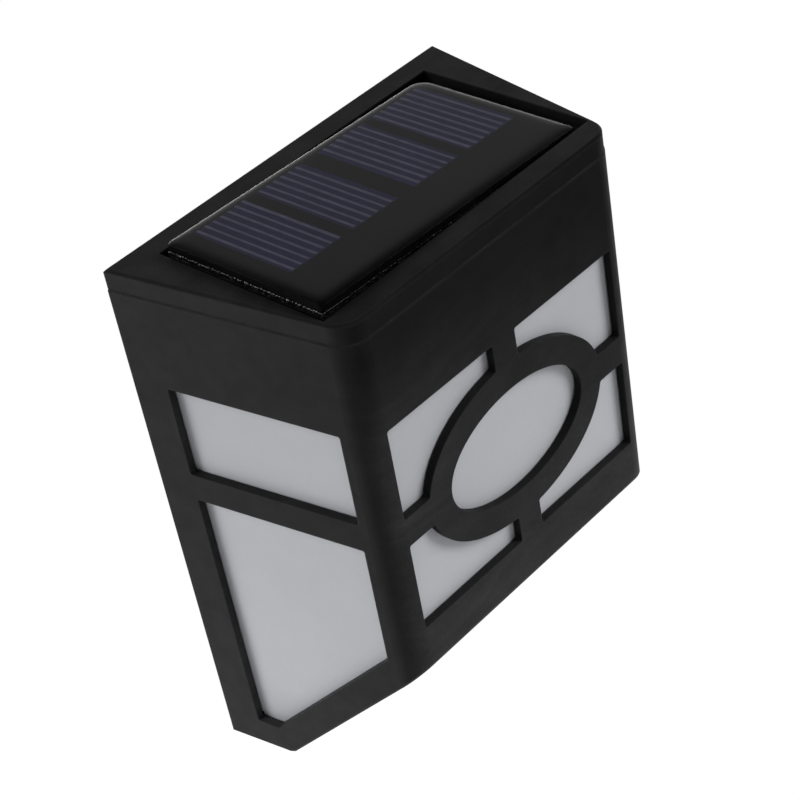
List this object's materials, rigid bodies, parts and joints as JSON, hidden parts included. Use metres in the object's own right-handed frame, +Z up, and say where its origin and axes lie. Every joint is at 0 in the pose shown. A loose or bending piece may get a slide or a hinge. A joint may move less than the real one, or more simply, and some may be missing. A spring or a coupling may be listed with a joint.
{
  "type": "solar fence light",
  "caption": "Wall-hung solar fence light: tapered black case with a fretted window front and oval ring, frosted diffuser, panel on top and slide switch behind.",
  "frame": {"origin": "middle of the back face, which lies against the wall or fence, at half the case's height", "axes": "+Y into the wall, -Y towards the viewer, +Z up, +X to the right of someone who faces the light"},
  "size_m": [0.0912, 0.0524, 0.1233],
  "materials": {
    "black_case": "satin moulded ABS",
    "frosted_insert": "frosted translucent plastic",
    "cover_plastic": "moulded ABS",
    "zinc_screw": "zinc plated steel",
    "panel_board": "black laminate with a rough snapped edge",
    "silicon_cell": "dark blue cell with fine light fingers",
    "clear_resin": "clear glossy resin",
    "adhesive": "set adhesive bead",
    "red_insulation": "soft insulation",
    "black_insulation": "soft insulation",
    "tray_plastic": "moulded white ABS",
    "circuit_laminate": "green solder mask",
    "tinned_metal": "tinned leads",
    "lamp_epoxy": "water clear lamp body",
    "chip_epoxy": "black moulding compound",
    "choke_coat": "green dipped lacquer",
    "cell_sleeve": "shrunk sleeve over a nickel plated can",
    "contact_metal": "nickel plated spring steel",
    "switch_steel": "folded plated steel",
    "switch_laminate": "brown phenolic laminate",
    "lever_plastic": "moulded nylon"
  },
  "bodies": {
    "light": {"housing": "black_case", "top_lid": "black_case", "diffuser": "frosted_insert", "back_cover": "cover_plastic", "cover_screws": "zinc_screw", "solar_board": "panel_board", "solar_cells": "silicon_cell", "panel_resin": "clear_resin", "panel_adhesive": "adhesive", "panel_wire_red": "red_insulation", "panel_wire_black": "black_insulation", "inner_tray": "tray_plastic", "tray_screws": "zinc_screw", "circuit_board": "circuit_laminate", "board_screws": "zinc_screw", "led_left": "lamp_epoxy", "led_right": "lamp_epoxy", "led_leads": "tinned_metal", "driver_chip": "chip_epoxy", "chip_leads": "tinned_metal", "choke": "choke_coat", "choke_leads": "tinned_metal", "battery_cell": "cell_sleeve", "contact_plate": "contact_metal", "contact_spring": "contact_metal", "battery_wire_red": "red_insulation", "battery_wire_black": "black_insulation", "switch_case": "switch_steel", "switch_base": "switch_laminate", "switch_terminals": "tinned_metal", "switch_wire_in": "red_insulation", "switch_wire_out": "black_insulation"},
    "switch_lever": {"switch_slider": "lever_plastic"}
  },
  "joints": [
    {"name": "switch_slide", "type": "slide", "parent": "light", "child": "switch_lever", "axis": [1, 0, 0], "range_m": [0, 0.0025]}
  ]
}
